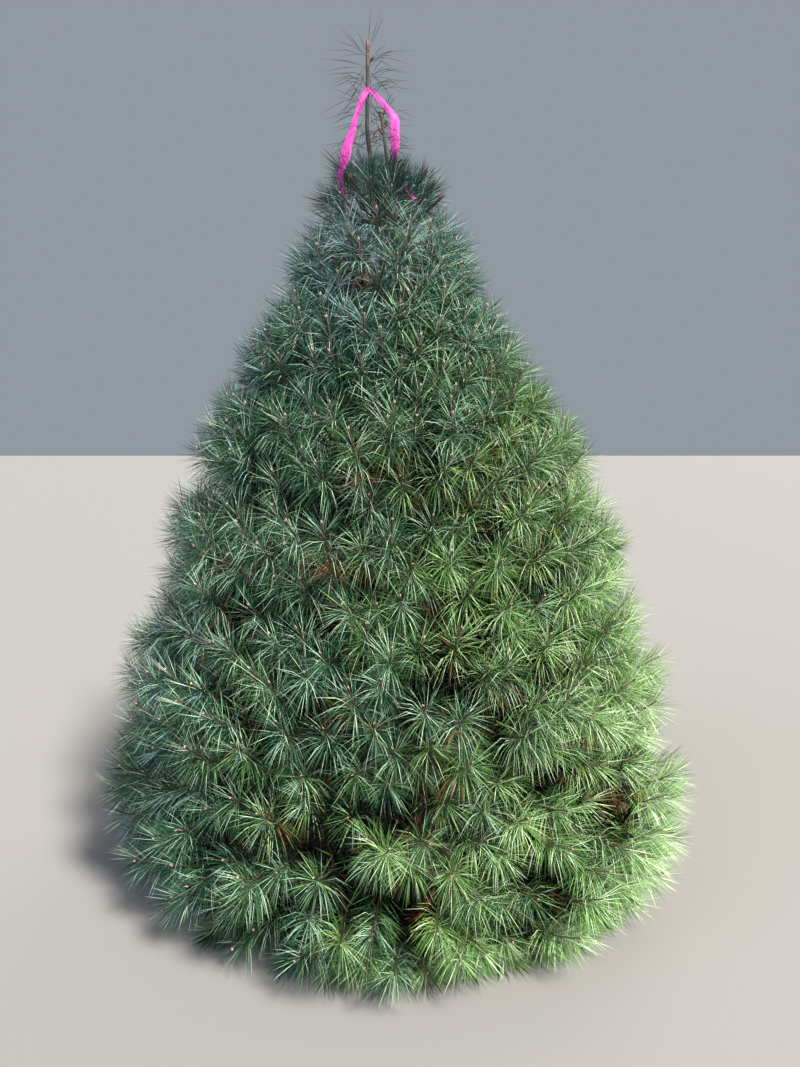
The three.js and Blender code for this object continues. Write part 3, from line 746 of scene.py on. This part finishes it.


# a shade for each needle, by its spray, its bundle and itself; the shift for painted shade moves the
# columns' starts up, so the needles come out darker
def dealShades(needles, yellowness, paintedShade, use):
    k = np.arange(needles.shape[1])[None]
    bundle, s = k // needleShape["bundle"], seeds[:, None]
    row = np.digitize(yellowness[:, None] + 0.20 * (chance(s, bundle, use) - 0.5), rowStarts)
    light = 0.35 * chance(s, bundle, use + 1) + 0.65 * chance(s, k, use + 2) + paintedLight[:, None]
    column = np.digitize(light, [start + paintedShade for start in columnStarts])
    return shadeTable[row, column]


currentShade = dealShades(current, yellow, 0.0, 41)
foremostShade = dealShades(foremost, yellow, 0.0, 35)
# the inner needles are dealt darker: painted shade inside the crown
innerShade = dealShades(inner, yellow, 0.25, 45)

oldTable = np.array(["green", "old", "brown", "olive", "rust"])
oldStarts = (0.26, 0.40, 0.58, 0.76)


# needles of other years: whole sprays green still or dark, the dark partly painted shade, or turned
# brown, olive or rusty, most where they hang
def dealOld(needles, seeds, use):
    bundle = (np.arange(needles.shape[1]) // needleShape["bundle"])[None]
    score = chance(seeds, 2, use)[:, None] + 0.3 * (chance(seeds[:, None], bundle, use + 1) - 0.5)
    rises = needles[:, :, -1, 2] > needles[:, :, 0, 2]
    score = np.where(rises, 0.8 * score - 0.1, score)
    return oldTable[np.digitize(score, oldStarts)]


olderShade = dealOld(older, seeds, 48)
# twelve blades of a shaded shoot share their shade; about one in eight such groups is brown, the rest
# near black, painted shade inside the crown
group = np.arange(shade.shape[1])[None] // 12
shadeShade = np.where(chance(shadeSeeds[:, None], group, 52) > 0.88, "brown", "old")
# the top tuft and the neck under it are open: no older, inner or shaded needles, and fewer of this year's
openFrom, shadeTop = 1.93, 1.85
airy = tips[:, 2] > openFrom
olderShade[airy] = innerShade[airy] = "none"
shadeShade[shadeTips[:, 2] > shadeTop] = "none"
thirdBundle = np.arange(current.shape[1]) // needleShape["bundle"] % 3 == 0
currentShade[airy[:, None] & thirdBundle] = "none"
slotOf = dict.fromkeys(("deep", "blue", "silver", "teal", "frost", "old"), "needles_blue_green")
slotOf.update(dict.fromkeys(("green", "light", "fresh", "pale"), "needles_fresh_green"))
mostTriangles = 190000


# needles of one shade and one shape, in pieces of fewer than 200,000 triangles
def addNeedles(name, needles, faces, shade, nodes, smooth=False):
    most = mostTriangles // len(faces)
    for first in range(0, len(needles), most):
        some = needles[first : first + most]
        addPiece(f"{name}_{first // most + 1}", some, repeated(faces, needles.shape[1], len(some)),
                 needleSkin[shade], nodes, slotOf.get(shade), smooth)


for name in needleShades:
    curved = current[currentShade == name]
    straight = np.concatenate([foremost[foremostShade == name], older[olderShade == name],
                               inner[innerShade == name], shade[shadeShade == name]])
    print(name, len(curved), "curved,", len(straight), "straight")
    addNeedles(f"{name}_needles", curved, curvedFaces, name, masses)
    addNeedles(f"{name}_straight_needles", straight, straightFaces, name, masses)

print("leader")
leaderShape = dict(low=2.17, high=2.55, bundles=58, length=0.142, width=0.0008)
sideShape = dict(low=2.12, high=2.36, bundles=40, length=0.095, width=0.0009)
stemShape = dict(rise=(-18, 38), droop=(0.2, 0.95), lengths=(0.82, 1.15), spread=0.25, jitter=0.3,
                 last=0.03, lastRise=0.9, lastDroop=0.8)
sideStemShape = dict(rings=60, sides=10, foot=0.0058, tip=0.0040, knobs=0.0007)
sideStations = np.array([
    (2.07, -0.050, 0.004), (2.11, -0.030, -0.020), (2.21, -0.036, -0.030),
    (2.25, -0.042, -0.030), (2.31, -0.050, -0.028), (2.364, -0.057, -0.025),
])


# sparse needles up a stem: they stand out near level or rise a little, and sag at their ends; the
# last few stand nearly upright
def stemNeedles(stations, shape, seed):
    stem = stemShape
    k = np.arange(shape["bundles"] * needleShape["bundle"])
    bundle, member = k // needleShape["bundle"], k % needleShape["bundle"]
    z = mix(shape["low"], shape["high"], (bundle + 0.5) / shape["bundles"])
    x, y = (np.interp(z, stations[:, 0], stations[:, part]) for part in (1, 2))
    turn = bundle * goldenTurn + seed + (member - 1) * stem["spread"]
    turn = turn + stem["jitter"] * (chance(seed, k, 4) - 0.5)
    last = np.clip((z - shape["high"] + stem["last"]) / stem["last"], 0, 1)
    rise = mix(*stem["rise"], chance(seed, bundle, 1)) * degree
    rise = rise + stem["jitter"] * (chance(seed, k, 5) - 0.5) + stem["lastRise"] * last
    droop = mix(*stem["droop"], chance(seed, bundle, 2)) * (1 - stem["lastDroop"] * last)
    length = shape["length"] * mix(*stem["lengths"], chance(seed, k, 3))
    return curvedNeedles(np.stack([x, y, z], -1), heading(turn, rise), droop, length, shape["width"])


# the leader's and the side shoot's needles all take the near-black deep shade: painted shade
for name, stations, shape, seed, node in (
    ("leader_needles", trunkStations, leaderShape, 71, "leader_needles"),
    ("side_shoot_needles", sideStations, sideShape, 83, "side_shoot"),
):
    addNeedles(name, stemNeedles(stations, shape, seed), curvedFaces, "deep", [node], smooth=True)


# the side shoot's stem: a knobbly tube through its stations
def makeSideStem():
    shape = sideStemShape
    path = curvesThrough([sideStations[:, [1, 2, 0]]], shape["rings"])
    radii = np.linspace(shape["foot"], shape["tip"], shape["rings"])
    knobs = shape["knobs"] * tubeNoise(shape["sides"], shape["rings"], 0.8, 5, 21)
    stem = limbArrays(path, radii, shape["sides"], knobs)
    addPiece("side_shoot_stem", *stem, trunkBark, ["side_shoot"], "trunk_bark")


makeSideStem()

print("buds")
budShape = dict(length=0.0095, lengths=(0.7, 1.2), radius=0.0020, radii=(0.8, 1.15), second=0.7,
                lean=0.6, each=2, sides=4, aside=0.0015, sunk=0.002,
                taperAt=(-0.1, 0.35, 1.0), taper=(0.6, 1.0, 0.15))


# a bud is a tube of three rings that swells and closes; one ends each shoot, and a smaller one leans
# out beside it
def makeBuds():
    shape = budShape
    n, each = len(tips), shape["each"]
    k = np.arange(each)[None]
    aside, above = (part[:, None] for part in squareTo(axes))
    turn = (chance(seeds, 3, 44)[:, None] * wholeTurn + k * math.pi / (each - 1))[..., None]
    side = turned(turn, aside, above)
    way = unit(axes[:, None] + np.where(k == 0, 0.0, shape["lean"])[..., None] * side)
    size = shape["length"] * mix(*shape["lengths"], chance(seeds[:, None], k, 45))
    size = size * np.where(k == 0, 1.0, shape["second"])
    foot = tips[:, None] + shape["aside"] * side * (k > 0)[..., None] - shape["sunk"] * axes[:, None]
    share = np.array(shape["taperAt"])[:, None]
    centres = foot[:, :, None] + way[:, :, None] * size[:, :, None, None] * share
    fatness = mix(*shape["radii"], chance(seeds[:, None], k, 46))[..., None]
    radii = shape["radius"] * np.array(shape["taper"]) * fatness
    buds = limbArrays(centres.reshape(n * each, 3, 3), radii.reshape(n * each, 3), shape["sides"])
    addPiece("buds", *buds, budScales, masses)


makeBuds()
# the leader ends in a fork of a short bud to the right, first here, and a long one straight up, last
# here; between them come the end bud of the shoot beside it and the two below that
forkShape = dict(rings=24, sides=10, knobs=0.0009, radii=(0.0034, 0.0044, 0.0036, 0.0036))
forkPaths = curvesThrough([
    [(-0.097, 0, 2.500), (-0.094, 0, 2.520), (-0.084, -0.001, 2.531), (-0.075, -0.002, 2.541)],
    [(-0.056, -0.025, 2.350), (-0.057, -0.025, 2.359), (-0.058, -0.024, 2.368), (-0.059, -0.024, 2.377)],
    [(-0.052, -0.027, 2.322), (-0.046, -0.026, 2.329), (-0.043, -0.025, 2.338), (-0.042, -0.025, 2.349)],
    [(-0.049, -0.028, 2.303), (-0.056, -0.031, 2.310), (-0.060, -0.032, 2.319), (-0.061, -0.032, 2.330)],
    [(-0.098, 0, 2.495), (-0.098, 0, 2.528), (-0.098, 0, 2.558), (-0.098, 0, 2.585)],
], forkShape["rings"])
forkRings = np.arange(forkShape["rings"])
# radii along a bud: it swells, then closes
budSwell = np.interp(forkRings, [0, 8, 17, 20, 22, 23], [1, 1.05, 1.4, 1.3, 0.8, 0.2])
longBud = np.interp(forkRings, [0, 4, 15, 18, 21, 22, 23],
                    [0.0055, 0.0060, 0.0052, 0.0060, 0.0050, 0.0034, 0.0008])
forkRadii = np.array([*(radius * budSwell for radius in forkShape["radii"]), longBud])
knobs = forkShape["knobs"] * tubeNoise(forkShape["sides"], forkShape["rings"], 0.9, 5, 23)
addPiece("leader_fork", *limbArrays(forkPaths, forkRadii, forkShape["sides"], knobs), tipBark)

# stout bare shoots that stand out of the top tuft, most on its right: foot and tip of each
bareShape = dict(sides=8, sag=0.008, taper=(0.0044, 0.0044, 0.0042, 0.0040, 0.0038, 0.0042, 0.0046, 0.0016))
bareShoots = np.array([
    [(-0.040, -0.010, 2.060), (0.018, -0.062, 2.197)], [(-0.020, -0.010, 2.050), (0.088, -0.050, 2.212)],
    [(0.000, -0.010, 2.050), (0.110, -0.055, 2.172)], [(0.010, -0.010, 2.040), (0.137, -0.060, 2.126)],
    [(-0.090, -0.020, 2.060), (-0.150, -0.085, 2.176)], [(-0.060, 0.020, 2.060), (0.020, 0.110, 2.190)],
])
footEnds, tipEnds = bareShoots[:, 0], bareShoots[:, 1]
bareMiddles = mix(footEnds, tipEnds, 0.5) - bareShape["sag"] * up
barePaths = curvesThrough(np.stack([footEnds, bareMiddles, tipEnds], 1), len(bareShape["taper"]))
bareLimbs = limbArrays(barePaths, bareShape["taper"], bareShape["sides"])
addPiece("bare_top_shoots", *bareLimbs, topShootSkin, slot="limb_bark")

print("marking tape")
# rows of each tail: place, width in millimetres, and turn about its own length in degrees
tapeTails = dict(
    left=[
        (-0.096, -0.010, 2.443, 12, 20), (-0.112, -0.020, 2.413, 21, 5), (-0.132, -0.030, 2.358, 15, 30),
        (-0.144, -0.036, 2.313, 22, 10), (-0.158, -0.040, 2.272, 27, 0), (-0.167, -0.044, 2.232, 36, -15),
        (-0.179, -0.042, 2.200, 24, -35), (-0.183, -0.038, 2.168, 20, -20), (-0.174, -0.036, 2.126, 12, 30),
    ],
    right=[
        (-0.097, -0.010, 2.443, 12, -20), (-0.062, -0.022, 2.408, 18, 10), (-0.032, -0.034, 2.373, 20, 20),
        (-0.016, -0.040, 2.345, 27, 10), (-0.0155, -0.044, 2.306, 31, 0), (-0.014, -0.046, 2.267, 27, -10),
        (-0.0155, -0.044, 2.238, 16, -40), (-0.008, -0.036, 2.208, 9, -60), (0.006, -0.036, 2.172, 8, -30),
        (0.028, -0.072, 2.122, 8, 20), (0.045, -0.150, 2.088, 10, 0),
    ],
)
tapeShape = dict(thick=0.0004, rings=110, across=10, crease=0.0016)
# the crease is a sine over the width that slides along the tail, times another along it
creaseWaves = dict(over=3.2, slide=9, along=14, start=2)


# a flat strip carried along a smooth path, turned about it and lightly creased, closed all round
def makeTail(name, rows):
    shape, waves = tapeShape, creaseWaves
    rows = np.array(rows)
    path = curvesThrough([rows[:, :3]], shape["rings"])[0]
    t = np.linspace(0, 1, shape["rings"])
    knots = np.linspace(0, 1, len(rows))
    half = np.interp(t, knots, rows[:, 3]) / 2000
    twist = (np.interp(t, knots, rows[:, 4]) * degree)[:, None]
    along = unit(np.gradient(path, axis=0))
    flat = unit(np.cross(along, [0, 1, 0]))
    wide = turned(twist, flat, np.cross(flat, along))
    normal = np.cross(wide, along)
    across = np.linspace(-1, 1, shape["across"])[None]
    wave = shape["crease"] * np.sin(waves["over"] * across + waves["slide"] * t[:, None])
    wave = wave * np.sin(waves["along"] * t[:, None] + waves["start"])
    flatStrip = path[:, None] + wide[:, None] * (half[:, None] * across)[..., None]
    middle = flatStrip + normal[:, None] * wave[..., None]
    off = normal[:, None] * shape["thick"] / 2
    ring = np.concatenate([middle + off, (middle - off)[:, ::-1]], 1)
    n = ring.shape[1]
    m = np.arange(n // 2 - 1)
    last = (len(t) - 1) * n
    foot = np.stack([m, n - 1 - m, n - 2 - m, m + 1], -1)
    head = np.stack([last + m, last + m + 1, last + n - 2 - m, last + n - 1 - m], -1)
    addPiece(name, ring, np.concatenate([ringQuads(len(t), n), foot, head]), tapeFilm)


for name, rows in tapeTails.items():
    makeTail("tape_tail_" + name, rows)


knotShape = dict(place=(-0.099, -0.002, 2.444), radius=0.0078, slant=0.002, thick=0.0022, tall=0.0045,
                 around=60, sides=10)


# the knot: a flat oval band carried round the leader, with its ring a little aslant
def makeKnot():
    shape = knotShape
    around, sides = shape["around"], shape["sides"]
    turn = np.arange(around) / around * 2 * math.pi
    out = np.stack([np.cos(turn), np.sin(turn), 0 * turn], -1)
    ring = np.array(shape["place"]) + shape["radius"] * out + shape["slant"] * up * np.sin(turn)[:, None]
    oval = (np.arange(sides) / sides * 2 * math.pi)[None, :, None]
    outer = ring[:, None] + shape["thick"] * np.cos(oval) * out[:, None]
    band = outer + shape["tall"] * np.sin(oval) * up
    facingOut = [0, 3, 2, 1]
    addPiece("tape_knot", band, ringQuads(around, sides, closed=True)[:, facingOut], tapeFilm)


makeKnot()

print("stage")
stageLook = dict(reach=30, floor="#7e7c7b", roughness=0.9, sky="#dbe6f2", strength=0.40)
floorMesh = bpy.data.meshes.new("floor")
far = stageLook["reach"]
floorCorners = [(-far, -far, 0), (far, -far, 0), (far, far, 0), (-far, far, 0)]
floorMesh.from_pydata(floorCorners, [], [(0, 1, 2, 3)])
floorMesh.materials.append(newMaterial("paleFloor", stageLook["floor"], stageLook["roughness"]))
addObject("floor", floorMesh)
world = bpy.data.worlds.new("studio")
world.use_nodes = True
sky = world.node_tree.nodes["Background"].inputs
sky["Color"].default_value = colour(stageLook["sky"])
sky["Strength"].default_value = stageLook["strength"]
bpy.context.scene.world = world
bpy.context.scene.view_settings.view_transform = "Standard"

# soft lights from far off, so that the floor is lit evenly: irradiance, softness in degrees, the way
# the light travels and its tint
studioLights = dict(
    key=(9.5, 10, (-0.65, 0.75, -1.15), "#fffaf0"),
    fill=(1.2, 40, (0.80, 0.60, -0.70), "#d6e8ff"),
    back=(1.3, 40, (-0.60, -0.85, -0.75), "#fff4e4"),
)
for name, (strength, softness, way, tint) in studioLights.items():
    sun = bpy.data.lights.new(name, "SUN")
    sun.energy, sun.angle, sun.color = strength, softness * degree, colour(tint)[:3]
    addObject(name, sun).rotation_euler = Vector(way).to_track_quat("-Z", "Y").to_euler()

# a phone at chest height: lens and sensor's long side in millimetres, metres from the trunk and above
# the ground, and degrees that it looks down
phone = dict(lens=27.0, sensor=36.0, back=2.6, height=1.45, down=8.1)
camera = bpy.data.cameras.new("camera")
camera.lens, camera.sensor_width = phone["lens"], phone["sensor"]
eye = addObject("camera", camera)
eye.location = (0, -phone["back"], phone["height"])
eye.rotation_euler = ((90 - phone["down"]) * degree, 0, 0)
bpy.context.scene.camera = eye
